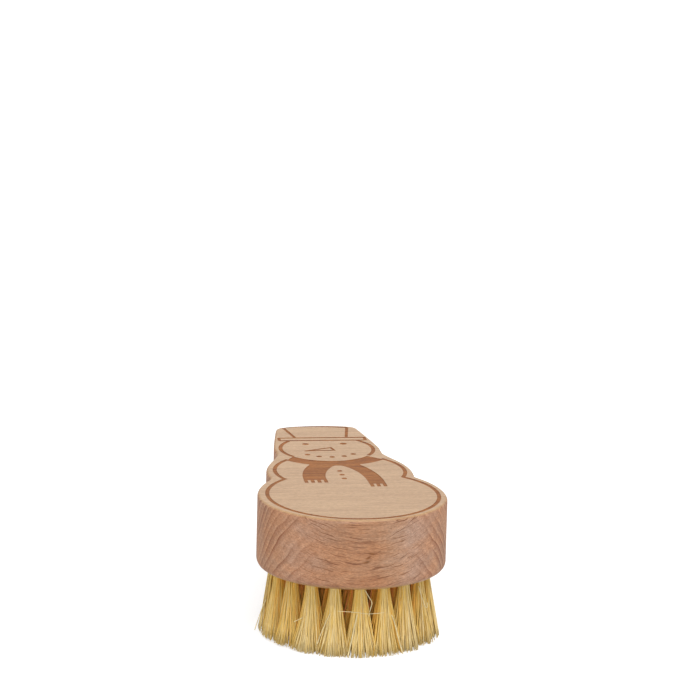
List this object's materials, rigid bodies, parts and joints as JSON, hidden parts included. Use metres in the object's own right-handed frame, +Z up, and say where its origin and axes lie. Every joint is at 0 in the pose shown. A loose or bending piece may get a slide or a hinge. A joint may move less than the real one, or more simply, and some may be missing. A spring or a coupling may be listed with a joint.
{
  "type": "dish brush",
  "caption": "Palm-held dish brush: a flat beech block in a snowman's outline, set with rings of stiff plant-fibre tufts under its round belly.",
  "frame": {"origin": "centre of the block's outline, on the surface that the bristle tips stand on", "axes": "+Z up through the block, +Y along its length from the belly to the hat, +X across it"},
  "size_m": [0.065, 0.125, 0.0487],
  "materials": {
    "beech": "satin",
    "plant_fibre": "matte"
  },
  "bodies": {
    "root": {"wood_block": "beech", "tuft_centre": "plant_fibre", "tuft_inner_01": "plant_fibre", "tuft_inner_02": "plant_fibre", "tuft_inner_03": "plant_fibre", "tuft_inner_04": "plant_fibre", "tuft_inner_05": "plant_fibre", "tuft_inner_06": "plant_fibre", "tuft_middle_01": "plant_fibre", "tuft_middle_02": "plant_fibre", "tuft_middle_03": "plant_fibre", "tuft_middle_04": "plant_fibre", "tuft_middle_05": "plant_fibre", "tuft_middle_06": "plant_fibre", "tuft_middle_07": "plant_fibre", "tuft_middle_08": "plant_fibre", "tuft_middle_09": "plant_fibre", "tuft_middle_10": "plant_fibre", "tuft_middle_11": "plant_fibre", "tuft_middle_12": "plant_fibre", "tuft_middle_13": "plant_fibre", "tuft_outer_01": "plant_fibre", "tuft_outer_02": "plant_fibre", "tuft_outer_03": "plant_fibre", "tuft_outer_04": "plant_fibre", "tuft_outer_05": "plant_fibre", "tuft_outer_06": "plant_fibre", "tuft_outer_07": "plant_fibre", "tuft_outer_08": "plant_fibre", "tuft_outer_09": "plant_fibre", "tuft_outer_10": "plant_fibre", "tuft_outer_11": "plant_fibre", "tuft_outer_12": "plant_fibre", "tuft_outer_13": "plant_fibre", "tuft_outer_14": "plant_fibre", "tuft_outer_15": "plant_fibre", "tuft_outer_16": "plant_fibre", "tuft_outer_17": "plant_fibre", "tuft_outer_18": "plant_fibre", "tuft_outer_19": "plant_fibre"}
  },
  "joints": []
}
